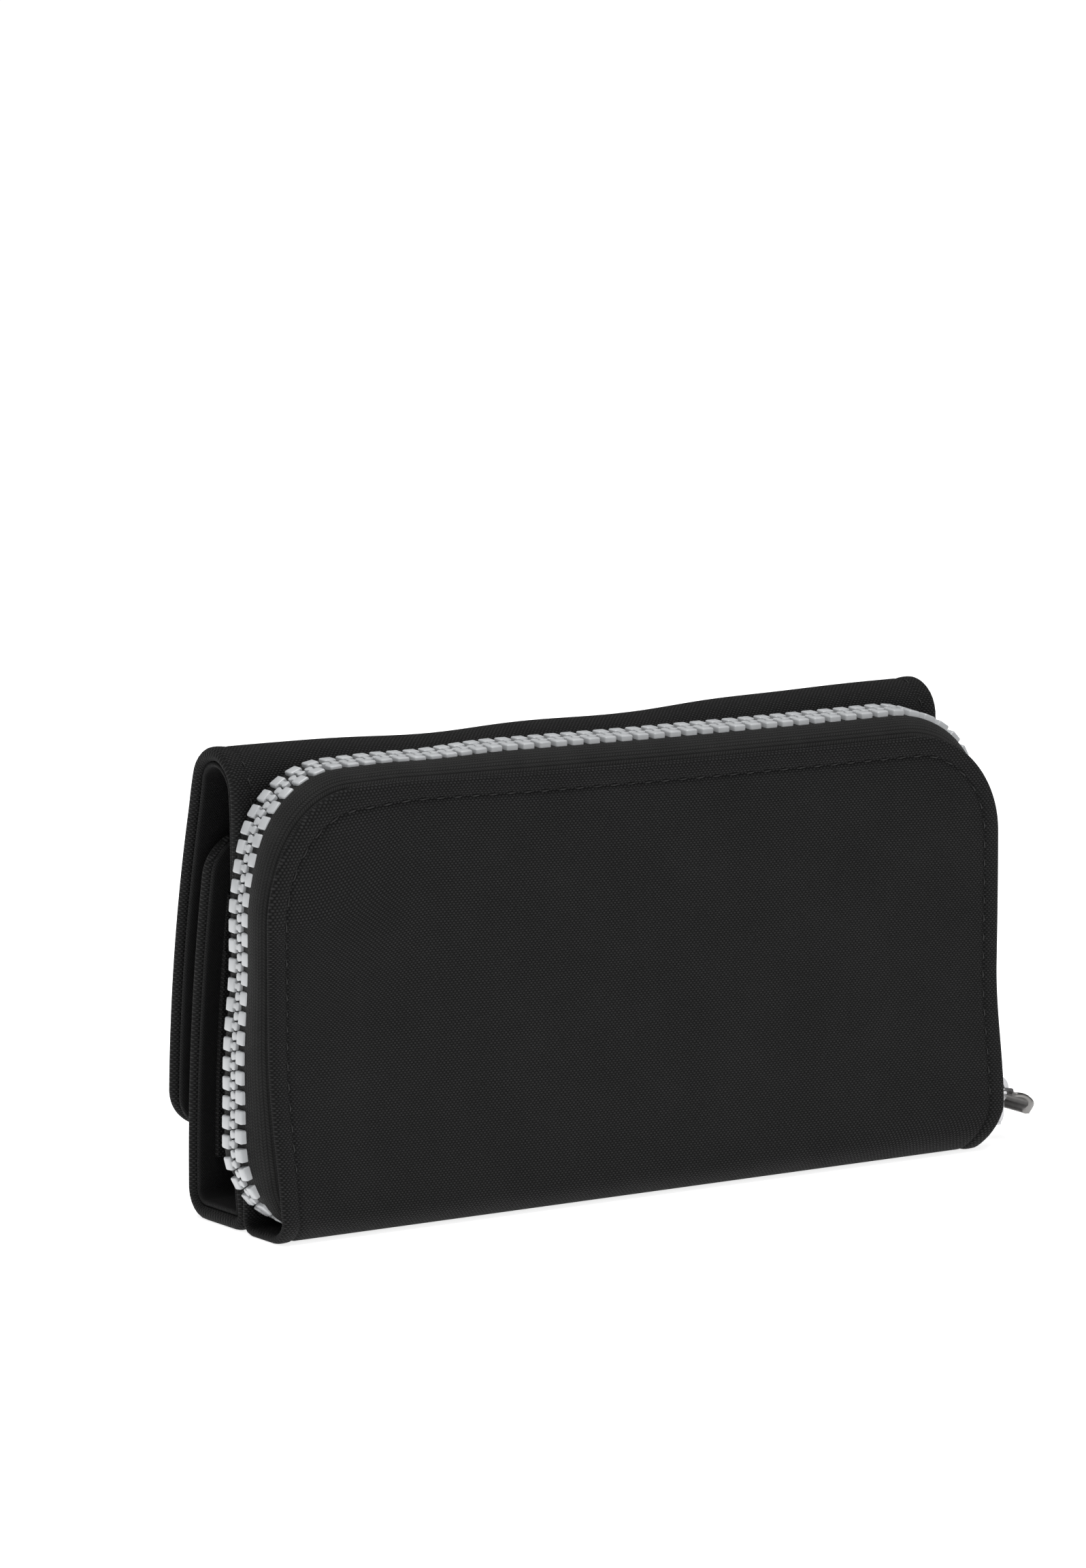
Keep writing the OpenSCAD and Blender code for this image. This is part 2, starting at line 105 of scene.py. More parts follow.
class Nodes:
    """Short calls for building a node tree."""

    def __init__(self, name):
        self.material = bpy.data.materials.new(name)
        self.material.use_nodes = True
        self.tree = self.material.node_tree
        self.bsdf = self.tree.nodes["Principled BSDF"]

    def new(self, kind, inputs=(), **settings):
        node = self.tree.nodes.new(kind)
        for key, value in settings.items():
            setattr(node, key, value)
        for key, value in dict(inputs).items():
            if isinstance(value, bpy.types.NodeSocket):
                self.tree.links.new(value, node.inputs[key])
            else:
                node.inputs[key].default_value = value
        return node

    def math(self, operation, a, b=0.0, clamp=False):
        node = self.new("ShaderNodeMath", operation=operation, use_clamp=clamp)
        for socket, value in zip(node.inputs, (a, b)):
            if isinstance(value, bpy.types.NodeSocket):
                self.tree.links.new(value, socket)
            else:
                socket.default_value = value
        return node.outputs[0]

    def noise(self, vector, scale, detail=3.0, rough=0.55):
        node = self.new("ShaderNodeTexNoise", {"Scale": scale, "Detail": detail, "Roughness": rough})
        if vector is not None:
            self.tree.links.new(vector, node.inputs["Vector"])
        return node.outputs["Fac"]

    def ramp(self, factor, stops):
        node = self.new("ShaderNodeValToRGB", {"Fac": factor})
        while len(node.color_ramp.elements) < len(stops):
            node.color_ramp.elements.new(0.5)
        for element, (place, colour) in zip(node.color_ramp.elements, stops):
            element.position = place
            element.color = (*colour, 1)
        return node.outputs["Color"]

    def set(self, **values):
        for key, value in values.items():
            self.bsdf.inputs[key.replace("_", " ")].default_value = value

    def link(self, socket, name):
        self.tree.links.new(socket, self.bsdf.inputs[name])

    def bump(self, height, strength, distance, normal=None):
        inputs = {"Height": height, "Strength": strength, "Distance": distance}
        if normal is not None:
            inputs["Normal"] = normal
        return self.new("ShaderNodeBump", inputs).outputs["Normal"]


def woven(name, pitch, row, dark, light, rough, sheen, bump, speck=0.5):
    """Plain weave: raised yarns in a brick pattern, laid along the cloth by its UV map in metres."""
    n = Nodes(name)
    uv = n.new("ShaderNodeUVMap", uv_map="cloth").outputs["UV"]
    wander = n.new("ShaderNodeTexNoise", {"Vector": uv, "Scale": 90.0, "Detail": 2.0})
    shifted = n.new(
        "ShaderNodeVectorMath", {0: wander.outputs["Color"], 1: (0.0003, 0.0003, 0.0)}, operation="MULTIPLY"
    ).outputs[0]
    place = n.new("ShaderNodeVectorMath", {0: uv, 1: shifted}, operation="ADD").outputs[0]
    split = n.new("ShaderNodeSeparateXYZ", {0: place})
    u = n.math("DIVIDE", split.outputs["X"], pitch)
    v = n.math("DIVIDE", split.outputs["Y"], row)
    rank = n.math("FLOOR", v)
    odd = n.math("MODULO", n.math("ABSOLUTE", rank), 2.0)
    u = n.math("ADD", u, n.math("MULTIPLY", odd, 0.5))
    along = n.math("SUBTRACT", n.math("FRACT", u), 0.5)
    across = n.math("SUBTRACT", n.math("FRACT", v), 0.5)
    arch_u = n.math("COSINE", n.math("MULTIPLY", along, math.pi))
    arch_v = n.math("COSINE", n.math("MULTIPLY", across, math.pi))
    yarn = n.math("MULTIPLY", n.math("POWER", arch_u, 1.7), n.math("POWER", arch_v, 1.1))
    cell = n.new("ShaderNodeCombineXYZ", {"X": n.math("FLOOR", u), "Y": rank})
    dice = n.new("ShaderNodeTexWhiteNoise", {"Vector": cell.outputs[0]}, noise_dimensions="2D")
    pick = dice.outputs["Value"]
    fibres = n.noise(uv, 9000.0, 2.0, 0.6)
    cloudy = n.noise(uv, 60.0, 3.0, 0.6)
    # Colour follows the yarns' rise: painted highlight on raised yarns, painted shade in the gaps between
    # them.
    tone = n.math("MULTIPLY", yarn, n.math("ADD", 1.0 - speck / 2, n.math("MULTIPLY", pick, speck)))
    tone = n.math("ADD", tone, n.math("MULTIPLY", n.math("SUBTRACT", fibres, 0.5), 0.5))
    tone = n.math("ADD", tone, n.math("MULTIPLY", n.math("SUBTRACT", cloudy, 0.5), 0.35), clamp=True)
    n.link(n.ramp(tone, [(0.1, dark), (0.95, light)]), "Base Color")
    n.link(n.math("ADD", rough, n.math("MULTIPLY", pick, 0.12)), "Roughness")
    height = n.math("ADD", yarn, n.math("MULTIPLY", fibres, 0.25))
    n.link(n.bump(height, 1.0, bump), "Normal")
    n.set(Sheen_Weight=sheen, Sheen_Roughness=0.45, Sheen_Tint=(1, 1, 1, 1), Specular_IOR_Level=0.13)
    return n.material


def knitted(name):
    """Zip tape: fine chevrons along its length."""
    n = Nodes(name)
    uv = n.new("ShaderNodeUVMap", uv_map="cloth").outputs["UV"]
    split = n.new("ShaderNodeSeparateXYZ", {0: uv})
    zig = n.math("PINGPONG", split.outputs["Y"], 0.0007)
    u = n.math("DIVIDE", n.math("ADD", split.outputs["X"], n.math("MULTIPLY", zig, 0.8)), 0.00066)
    v = n.math("DIVIDE", split.outputs["Y"], 0.0007)
    loop = n.math("COSINE", n.math("MULTIPLY", n.math("SUBTRACT", n.math("FRACT", u), 0.5), math.pi))
    wale = n.math("COSINE", n.math("MULTIPLY", n.math("SUBTRACT", n.math("FRACT", v), 0.5), math.pi))
    knit = n.math("MULTIPLY", n.math("POWER", loop, 0.6), n.math("POWER", wale, 0.6))
    fibres = n.noise(uv, 7000.0, 2.0, 0.6)
    # Colour follows the knit's rise: painted highlight on the raised loops, painted shade between them.
    tone = n.math("ADD", n.math("MULTIPLY", knit, 0.8), n.math("MULTIPLY", fibres, 0.3), clamp=True)
    cloudy = n.noise(uv, 120.0, 3.0, 0.6)
    tone = n.math("ADD", tone, n.math("MULTIPLY", n.math("SUBTRACT", cloudy, 0.5), 0.6), clamp=True)
    n.link(n.ramp(tone, [(0.15, (0.0015, 0.0015, 0.0015)), (1.0, (0.017, 0.017, 0.0168))]), "Base Color")
    n.link(n.bump(n.math("ADD", knit, n.math("MULTIPLY", fibres, 0.3)), 1.0, 0.00014), "Normal")
    n.set(Roughness=0.75, Sheen_Weight=0.02, Sheen_Roughness=0.5, Specular_IOR_Level=0.16)
    return n.material


def moulded(name, low, high, rough, bump=0.00002, scale=900.0):
    """Moulded plastic or board: slight mottling and a fine surface grain."""
    n = Nodes(name)
    where = n.new("ShaderNodeTexCoord").outputs["Object"]
    n.link(n.ramp(n.noise(where, scale / 4, 3.0, 0.6), [(0.3, low), (0.7, high)]), "Base Color")
    grain = n.noise(where, scale, 3.0, 0.6)
    n.link(n.math("ADD", rough, n.math("MULTIPLY", n.math("SUBTRACT", grain, 0.5), 0.2)), "Roughness")
    n.link(n.bump(grain, 0.5, bump), "Normal")
    return n


def plated(name, colour, rough=0.1):
    """Metal plating with faint wear."""
    n = Nodes(name)
    where = n.new("ShaderNodeTexCoord").outputs["Object"]
    wear = n.noise(where, 700.0, 4.0, 0.65)
    n.link(n.ramp(wear, [(0.35, tuple(0.86 * c for c in colour)), (0.65, colour)]), "Base Color")
    n.link(n.math("ADD", rough, n.math("MULTIPLY", wear, 0.16)), "Roughness")
    n.link(n.bump(wear, 0.2, 0.00001), "Normal")
    n.set(Metallic=1.0)
    return n.material


NYLON = woven("nylon", pitch=0.00087, row=0.00048, dark=(0.0010, 0.0010, 0.0010),
              light=(0.021, 0.021, 0.0213), rough=0.7, sheen=0.015, bump=0.00016)
# The lining's colours are kept darker than the nylon's: its own dark cloth, and painted shade for the
# pocket's dim inside.
LINING = woven("lining", pitch=0.00050, row=0.00030, dark=(0.0015, 0.0015, 0.0016),
               light=(0.011, 0.011, 0.0114), rough=0.65, sheen=0.02, bump=0.00008)
TAPE = knitted("zip_tape")
PLASTIC = moulded("zip_teeth", (0.36, 0.37, 0.38), (0.42, 0.43, 0.44), 0.38)
PLASTIC.set(Coat_Weight=0.2, Coat_Roughness=0.3)
PLASTIC = PLASTIC.material
BOARD = moulded("stiffener_board", (0.22, 0.20, 0.17), (0.34, 0.31, 0.27), 0.8, 0.00005, 1500.0).material
THREAD = moulded("thread", (0.004, 0.004, 0.004), (0.013, 0.013, 0.013), 0.6, 0.00006, 5000.0)
THREAD.set(Specular_IOR_Level=0.3)
THREAD = THREAD.material
STUD = plated("stud_metal", (0.40, 0.40, 0.41), 0.2)
CHROME = plated("slider_metal", (0.44, 0.44, 0.45), 0.16)
SATIN = plated("pull_metal", (0.19, 0.185, 0.18), 0.36)


# ---- Meshes


def finish_mesh(name, verts, faces, material, uv=None, sharp=40.0):
    """verts in millimetres. Drops what no face uses, and marks sharp edges."""
    clean = []
    for face in faces:
        ring = [v for i, v in enumerate(face) if v != face[i - 1]]
        if len(set(ring)) > 2 and len(set(ring)) == len(ring):
            clean.append(ring)
    used = np.unique(np.concatenate([np.array(f) for f in clean]))
    index = np.full(len(verts), -1)
    index[used] = np.arange(len(used))
    mesh = bpy.data.meshes.new(name)
    points = (np.asarray(verts)[used] * MM).tolist()
    mesh.from_pydata(points, [], [[int(index[v]) for v in f] for f in clean])
    if uv is not None:
        layer = mesh.uv_layers.new(name="cloth")
        loops = np.zeros(len(mesh.loops), int)
        mesh.loops.foreach_get("vertex_index", loops)
        layer.data.foreach_set("uv", (np.asarray(uv)[used][loops] * MM).ravel())
    mesh.polygons.foreach_set("use_smooth", [True] * len(mesh.polygons))
    mesh.set_sharp_from_angle(angle=math.radians(sharp))
    mesh.materials.append(material)
    mesh.validate()
    obj = bpy.data.objects.new(name, mesh)
    bpy.context.scene.collection.objects.link(obj)
    return obj


def shell(name, outer, inner, uv, material):
    """A closed sheet between two grids of points. Where they meet at a border, it is rounded shut."""
    n, m = outer.shape[:2]
    a = np.arange(n * m).reshape(n, m)
    met = np.linalg.norm(outer - inner, axis=2) < 1e-5
    b = np.where(met, a, a + n * m)
    quads = lambda g: np.stack([g[:-1, :-1], g[1:, :-1], g[1:, 1:], g[:-1, 1:]], -1).reshape(-1, 4)
    faces = quads(a).tolist() + quads(b)[:, ::-1].tolist()
    border = [(i, 0) for i in range(n)] + [(n - 1, j) for j in range(1, m)]
    border += [(i, m - 1) for i in range(n - 2, -1, -1)] + [(0, j) for j in range(m - 2, 0, -1)]
    for p, q in zip(border, border[1:] + border[:1]):
        if not (met[p] and met[q]):
            faces.append([int(a[q]), int(a[p]), int(b[p]), int(b[q])])
    verts = np.concatenate([outer.reshape(-1, 3), inner.reshape(-1, 3)])
    uvs = np.concatenate([uv.reshape(-1, 2)] * 2)
    return finish_mesh(name, verts, faces, material, uvs)


class Path:
    """A line in the Y-Z plane, walked with the outside on its left."""

    def __init__(self, points):
        self.p = np.array(points, float)
        step = np.linalg.norm(np.diff(self.p, axis=0), axis=1)
        keep = np.concatenate([[True], step > 1e-6])
        self.p = self.p[keep]
        step = np.linalg.norm(np.diff(self.p, axis=0), axis=1)
        self.s = np.concatenate([[0], np.cumsum(step)])
        t = np.gradient(self.p, self.s, axis=0)
        t /= np.linalg.norm(t, axis=1)[:, None]
        self.n = np.stack([-t[:, 1], t[:, 0]], 1)

    def at(self, s):
        y, z, ny, nz = (np.interp(s, self.s, v) for v in (*self.p.T, *self.n.T))
        return y, z, ny, nz

    def nearest(self, y, z):
        return self.s[np.argmin(np.hypot(self.p[:, 0] - y, self.p[:, 1] - z))]


def bow(centre, radius, a0, a1, step=0.4):
    n = max(3, int(abs(a1 - a0) * radius / step))
    a = np.linspace(a0, a1, n)
    return [(centre[0] + radius * math.cos(t), centre[1] + radius * math.sin(t)) for t in a]


def line(p, q, step=0.5):
    n = max(2, int(math.dist(p, q) / step))
    return [(p[0] + (q[0] - p[0]) * i / n, p[1] + (q[1] - p[1]) * i / n) for i in range(n + 1)]


# Distances in from a hemmed edge at which a cloth's grid has lines, and those for a plain edge
HEM = [0, 0.12, 0.35, 0.7, 1.1, 1.6, 2.3, 3.0, 3.45, 3.75, 3.9, 4.05, 4.35, 4.9, 6.0, 7.5]
FLAT = [0, 0.1, 0.25, 0.5, 1.2, 3.0]


def lines(lo, hi, cut_lo, cut_hi, insets, step):
    """Grid lines from lo to hi, close together where an edge is rounded."""
    near = [0.0, 0.6] if cut_lo else insets
    far = [0.0, 0.6] if cut_hi else insets
    half = (hi - lo) / 2
    near = [d for d in near if d < half * 0.9]
    far = [d for d in far if d < half * 0.9]
    a, b = lo + near[-1], hi - far[-1]
    n = max(2, int(round((b - a) / step)))
    middle = [a + (b - a) * i / n for i in range(1, n)]
    return np.array([lo + d for d in near] + middle + [hi - d for d in far[::-1]])


class Cloth:
    """A sewn sheet that follows a path: x along the width, s along the path, depth in from the outside."""

    def __init__(self, path, x, s, thick, depth=0.0, corners=(0, 0, 0, 0), cut=(), step=(3.0, 2.0),
                 insets=HEM, groove=STITCH_IN, relief=None, warp=None):
        self.path, self.x, self.s, self.thick, self.depth = path, x, s, thick, depth
        self.corners, self.cut, self.groove, self.relief, self.warp = corners, cut, groove, relief, warp
        self.insets = list(insets)
        while self.insets[-1] < max(corners):
            self.insets.append(self.insets[-1] + 1.6)
        self.step = step

    def place(self, x, s, depth):
        """Points of the sheet, depth millimetres below its outside."""
        x, s, depth = np.broadcast_arrays(np.asarray(x, float), s, depth)
        if self.relief:
            depth = depth - self.relief(x, s)
        y, z, ny, nz = self.path.at(s)
        d = depth + self.depth
        p = np.stack([x, y - ny * d, z - nz * d], -1)
        return self.warp(p, s) if self.warp else p

    def grid(self):
        (x0, x1), (s0, s1) = self.x, self.s
        gx = lines(x0, x1, "x0" in self.cut, "x1" in self.cut, self.insets, self.step[0])
        gs = lines(s0, s1, "s0" in self.cut, "s1" in self.cut, self.insets, self.step[1])
        x, s = np.meshgrid(gx, gs, indexing="ij")
        rim = np.full(x.shape, 1e9)
        for side, d in (("x0", x - x0), ("x1", x1 - x), ("s0", s - s0), ("s1", s1 - s)):
            if side not in self.cut:
                rim = np.minimum(rim, d)
        for (sx, ss), r in zip(((0, 0), (1, 0), (1, 1), (0, 1)), self.corners):
            if not r:
                continue
            p = x1 - x if sx else x - x0
            q = s1 - s if ss else s - s0
            inside = (p < r) & (q < r)
            m = np.minimum(p, q)
            radius = np.where(inside, r - m, 1.0)
            a = math.pi / 4 * (1 - (np.maximum(p, q) - m) / radius)
            c, w = np.cos(a), np.sin(a)
            new_p = r - radius * np.where(p <= q, c, w)
            new_q = r - radius * np.where(p <= q, w, c)
            x = np.where(inside, (x1 - new_p if sx else x0 + new_p), x)
            s = np.where(inside, (s1 - new_q if ss else s0 + new_q), s)
        return x, s, rim

    def build(self, name, material):
        x, s, rim = self.grid()
        half = self.thick / 2
        near = np.clip(1 - rim / half, 0, 1)
        lip = half * (1 - np.sqrt(1 - near**2))
        top = lip.copy()
        if self.groove:
            top -= 0.2 * np.sin(math.pi * np.clip(rim / self.groove, 0, 1)) * (rim > 0)
            top += 0.32 * np.exp(-(((rim - self.groove) / 0.42) ** 2))
        top = np.where(rim <= 0, half, top)
        uv = np.stack([x, s], -1)
        return shell(name, self.place(x, s, top), self.place(x, s, self.thick - lip), uv, material)

    def seam(self, inset, sides):
        """Points and inward directions of the line that far inside the edge, round its corners."""
        (x0, x1), (s0, s1) = self.x, self.s
        r = [max(c - inset, 0) for c in self.corners]
        spots, inward = [], []

        def run(p, q, n):
            k = max(2, int(math.dist(p, q) / 0.1))
            for i in range(k + 1):
                spots.append((p[0] + (q[0] - p[0]) * i / k, p[1] + (q[1] - p[1]) * i / k))
                inward.append(n)

        def turn(corner, a0, a1):
            c, rad = self.corners[corner], r[corner]
            if rad <= 0:
                return
            cx = (x0 + c) if corner in (0, 3) else (x1 - c)
            cs = (s0 + c) if corner in (0, 1) else (s1 - c)
            for a in np.linspace(a0, a1, max(4, int(rad * 16))):
                spots.append((cx + rad * math.cos(a), cs + rad * math.sin(a)))
                inward.append((-math.cos(a), -math.sin(a)))

        c = [max(k, inset) for k in self.corners]
        low = s0 + (0 if "s0" in self.cut else c[0])
        low1 = s0 + (0 if "s0" in self.cut else c[1])
        high = s1 - (0 if "s1" in self.cut else c[2])
        high0 = s1 - (0 if "s1" in self.cut else c[3])
        if "x1" in sides:
            run((x1 - inset, low1), (x1 - inset, high), (-1, 0))
        if "s1" in sides:
            turn(2, 0, math.pi / 2)
            run((x1 - c[2], s1 - inset), (x0 + c[3], s1 - inset), (0, -1))
            turn(3, math.pi / 2, math.pi)
        if "x0" in sides:
            run((x0 + inset, high0), (x0 + inset, low), (1, 0))
        if "s0" in sides:
            turn(0, math.pi, 1.5 * math.pi)
            run((x0 + c[0], s0 + inset), (x1 - c[1], s0 + inset), (0, 1))
            turn(1, 1.5 * math.pi, 2 * math.pi)
        return np.array(spots), np.array(inward)


def stitch_mesh(name, cloth, runs, pitch=4.2, length=2.7, thread=0.19, sink=0.26):
    """Threads along seam lines, one short tube for each stitch, its ends pulled into the cloth."""
    verts, faces = [], []
    rings, sides = 7, 6
    along = np.linspace(-1, 1, rings)
    ring_r = np.array([0.25, 0.8, 1, 1, 1, 0.8, 0.25])
    dip = np.array([0.55, 0.22, 0.03, 0.0, 0.03, 0.22, 0.55])
    turn = np.arange(sides) / sides * 2 * math.pi
    for spots, inward in runs:
        step = np.linalg.norm(np.diff(spots, axis=0), axis=1)
        far = np.concatenate([[0], np.cumsum(step)])
        for k in range(int((far[-1] - 1) / pitch)):
            c = pitch * (k + 0.6)
            q = np.clip(c + along * length / 2, 0, far[-1])
            x, s = (np.interp(q, far, spots[:, i]) for i in (0, 1))
            nx, ns = (np.interp(q, far, inward[:, i]) for i in (0, 1))
            side = thread * ring_r[:, None] * np.cos(turn)
            up = thread * ring_r[:, None] * np.sin(turn)
            slant = 0.12 * along[:, None]
            p = cloth.place(
                x[:, None] + nx[:, None] * (side + slant),
                s[:, None] + ns[:, None] * (side + slant),
                sink + dip[:, None] - thread * 0.7 - up,
            )
            base = len(verts)
            verts.extend(p.reshape(-1, 3))
            for i in range(rings - 1):
                for j in range(sides):
                    a, b = base + i * sides + j, base + i * sides + (j + 1) % sides
                    faces.append([a, b, b + sides, a + sides])
            faces.append([base + j for j in range(sides)][::-1])
            faces.append([base + (rings - 1) * sides + j for j in range(sides)])
    return finish_mesh(name, np.array(verts), faces, THREAD, sharp=80)


def bend(pieces, a, b, start, end):
    for piece in pieces:
        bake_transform(piece)


# ---- Camera, light and floor


def make_camera():
    data = bpy.data.cameras.new("camera")
    camera = bpy.data.objects.new("camera", data)
    bpy.context.scene.collection.objects.link(camera)
    away = Vector((0.54274, 0.82252, -0.17004)).normalized()
    right = Vector((0.8347, -0.5508, 0.0)).normalized()
    up = right.cross(away)
    rotation = Matrix((right, up, -away)).transposed().to_4x4()
    place = Vector((-1185.3, FRONT_Y - 1759.3, 452.3)) * MM
    camera.matrix_world = Matrix.Translation(place) @ rotation
    data.lens, data.sensor_width, data.sensor_fit = 242.75, 36, "AUTO"
    data.clip_start, data.clip_end = 0.05, 30
    bpy.context.scene.camera = camera


def make_light(name, place, aim, size, power):
    data = bpy.data.lights.new(name, "AREA")
    data.shape, data.size, data.size_y, data.energy = "RECTANGLE", size[0], size[1], power
    light = bpy.data.objects.new(name, data)
    light.location = place
    light.rotation_mode = "QUATERNION"
    light.rotation_quaternion = (Vector(aim) - Vector(place)).to_track_quat("-Z", "Y")
    bpy.context.scene.collection.objects.link(light)


def make_floor():
    n = Nodes("floor_paper")
    where = n.new("ShaderNodeTexCoord").outputs["Object"]
    n.link(n.ramp(n.noise(where, 3.0), [(0.0, (0.93, 0.93, 0.93)), (1.0, (0.97, 0.97, 0.97))]), "Base Color")
    n.set(Roughness=0.9, Specular_IOR_Level=0.1)
    n.set(Emission_Color=(1, 1, 1, 1), Emission_Strength=0.8)
    mesh = bpy.data.meshes.new("floor")
    size, sunk = 6.0, -0.0002
    corners = [(x * size, y * size, sunk) for x, y in ((-1, -1), (1, -1), (1, 1), (-1, 1))]
    mesh.from_pydata(corners, [], [(0, 1, 2, 3)])
    mesh.materials.append(n.material)
    floor = bpy.data.objects.new("floor", mesh)
    bpy.context.scene.collection.objects.link(floor)


def make_world():
    """White to look at, and dimmer as a light, as the far walls of a studio are."""
    world = bpy.data.worlds.new("studio")
    world.use_nodes = True
    tree = world.node_tree
    background = tree.nodes["Background"]
    background.inputs["Color"].default_value = (1, 1, 1, 1)
    path = tree.nodes.new("ShaderNodeLightPath")
    level = tree.nodes.new("ShaderNodeMapRange")
    level.inputs["To Min"].default_value = 0.22
    level.inputs["To Max"].default_value = 1.0
    tree.links.new(path.outputs["Is Camera Ray"], level.inputs["Value"])
    tree.links.new(level.outputs["Result"], background.inputs["Strength"])
    bpy.context.scene.world = world


make_camera()
make_world()
make_floor()
make_light("top", (-0.1, -0.15, 1.1), (0, 0, 0.05), (0.9, 0.7), 14)
make_light("front", (-1.0, -1.3, 0.9), (0, 0, 0.05), (0.9, 0.9), 4)
bpy.context.scene.view_settings.view_transform = "Standard"


# ---- Coin pocket: front panel, bottom fold and lining

CREASE_Y = BACK_Y - 1.4
front_points = (
    line((BACK_Y - 0.4, 12), (CREASE_Y, 7))
    + line((CREASE_Y, 7), (CREASE_Y, 3.4))
    + bow((CREASE_Y - 3.2, 3.2), 3.2, 0, -math.pi / 2)
    + line((CREASE_Y - 3.2, 0), (FRONT_Y + 5.5, 0))
    + bow((FRONT_Y + 5.5, 5.5), 5.5, -math.pi / 2, -math.pi)
    + line((FRONT_Y, 5.5), (FRONT_Y, PANEL_TOP))
)
FRONT = Path(front_points)
FRONT_FOLD_S = FRONT.nearest(FRONT_Y, 5.5)

# Height of the panel's top edge above a straight one, at places across the width
TOP_LINE = [-90, -57, -24, 9, 43, 90], [0.6, 1.0, -0.2, -1.0, -1.5, -1.9]


def front_warp(p, s):
    """The panel as it is sewn: narrower to the lower left, a top edge that falls to the right."""
    x, y, z = p[..., 0], p[..., 1], p[..., 2]
    up = np.where(s < FRONT_FOLD_S, 0.0, z)
    left = smooth(0.25 * PANEL_X, PANEL_X, -x)
    right = smooth(0.25 * PANEL_X, PANEL_X, x)
    taper = 3.3 * (1 - smooth(0, 45, up)) ** 1.3
    flare = 2.1 * smooth(40, 10, up) - 4.6 * smooth(FRONT_FOLD_S + 4, FRONT_FOLD_S - 6, s)
    rise = smooth(20, 85, up) * np.interp(x, TOP_LINE[0], TOP_LINE[1])
    drop = np.interp(up, [35, 70.3, PANEL_TOP], [0, 1, 0]) * smooth(35, 55, up)
    drop *= 6.0 * smooth(50, 82, -x) + 0.6 * smooth(50, 82, x)
    return np.stack([x + left * taper + right * flare, y, z + rise - drop], -1)


def front_relief(x, s):
    """Soft undulation of the cloth over what is inside."""
    h = s - FRONT_FOLD_S
    calm = smooth(0, 25, h) * smooth(PANEL_TOP, 70, h)
    wave = np.sin(x * 0.045 + 0.6) * np.sin(h * 0.07 + 0.4) + 0.4 * np.sin(x * 0.11 + h * 0.06 + 2.0)
    return 0.22 * wave * calm + 0.5 * calm * np.cos(np.clip(x / PANEL_X, -1, 1) * math.pi / 2)


PANEL_THICK = 1.7
panel = Cloth(FRONT, (-PANEL_X, PANEL_X), (0.0, FRONT.s[-1]), PANEL_THICK,
              corners=(0, 0, PANEL_CORNER, PANEL_CORNER), step=(3.0, 1.0), relief=front_relief,
              warp=front_warp)
panel_cover = panel.build("panel_cover", NYLON)
spots, inward = panel.seam(STITCH_IN, ("x1", "s1", "x0"))
above = spots[:, 1] > FRONT_FOLD_S + 5
panel_stitches = stitch_mesh("panel_stitches", panel, [(spots[above], inward[above])])
bend([panel_cover, panel_stitches], "zip_panel", "wallet_back", (0, FRONT_Y, 9), (0, FRONT_Y, 1))
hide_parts("panel_outer", "pocket_bottom_fold")

INSET = 2.2
facing = Cloth(FRONT, (-PANEL_X + INSET, PANEL_X - INSET), (FRONT_FOLD_S + 2, FRONT.s[-1] - INSET), 0.8,
               depth=PANEL_THICK + 0.1, corners=(0, 0, 19, 19), groove=0, insets=FLAT, warp=front_warp)
facing = facing.build("panel_facing", LINING)
bend([facing], "zip_panel", "wallet_back", (0, FRONT_Y, 9), (0, FRONT_Y, 1))
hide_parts("panel_lining")
rear_path = Path(line((CREASE_Y, 12.2), (CREASE_Y, 92.0)))
rear = Cloth(rear_path, (-86.0, 86.0), (0.0, rear_path.s[-1]), 0.6, corners=(0, 0, 19, 19), groove=0,
             insets=FLAT)
rear = rear.build("pocket_rear_facing", LINING)
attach(rear, "wallet_back")
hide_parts("pocket_back_lining")


# ---- Zip: tapes


class Loop:
    """The zip's line round the pocket: lower right, over the top, round the lower left corner."""

    def __init__(self):
        r, x, top = PANEL_CORNER, PANEL_X, PANEL_TOP
        pts = [(x, z) for z in np.linspace(0, top - r, 60)]
        pts += bow((x - r, top - r), r, 0, math.pi / 2)
        pts += [(v, top) for v in np.linspace(x - r, -x + r, 100)]
        pts += bow((-x + r, top - r), r, math.pi / 2, math.pi)
        pts += [(-x, z) for z in np.linspace(top - r, BEND_Z, 50)]
        a = np.linspace(0, math.pi / 2, 60)
        pts += list(zip(-x + BEND_X * (1 - np.cos(a)), BEND_Z - BEND_H * np.sin(a)))
        pts += [(-x + BEND_X + d, BEND_Z - BEND_H) for d in (2.0, 4.0, 6.0, 8.0)]
        walk = Path(pts).p
        # The panel's own edge goes straight down where the zip turns the lower left corner.
        edge = walk.copy()
        bent = (walk[:, 0] < 0) & (walk[:, 1] < BEND_Z)
        edge[bent, 0] = -x
        hem = front_warp(
            np.stack([edge[:, 0], np.full(len(walk), FRONT_Y), edge[:, 1]], -1),
            np.full(len(walk), FRONT_FOLD_S + 50.0),
        )[:, [0, 2]]
        base = hem.copy()
        straight = np.where(walk[:, 0] < 0, smooth(45, 22, walk[:, 1]), smooth(72, 60, walk[:, 1]))
        base[:, 0] += straight * (walk[:, 0] - hem[:, 0])
        along = np.gradient(base, axis=0)
        along /= np.linalg.norm(along, axis=1)[:, None]
        self.p, self.hem = base, hem
        self.n = np.stack([along[:, 1], -along[:, 0]], 1)
        self.top = smooth(0.15, 0.9, self.n[:, 1])
        ridge = base + self.n * (SIDE_LIFT + TOP_LIFT * self.top)[:, None]
        self.s = np.concatenate([[0], np.cumsum(np.linalg.norm(np.diff(ridge, axis=0), axis=1))])

    def at(self, s):
        """x, z, outward x, outward z, share of top and the panel's own hem there."""
        rows = (*self.p.T, *self.n.T, self.top, *self.hem.T)
        return [np.interp(s, self.s, row) for row in rows]


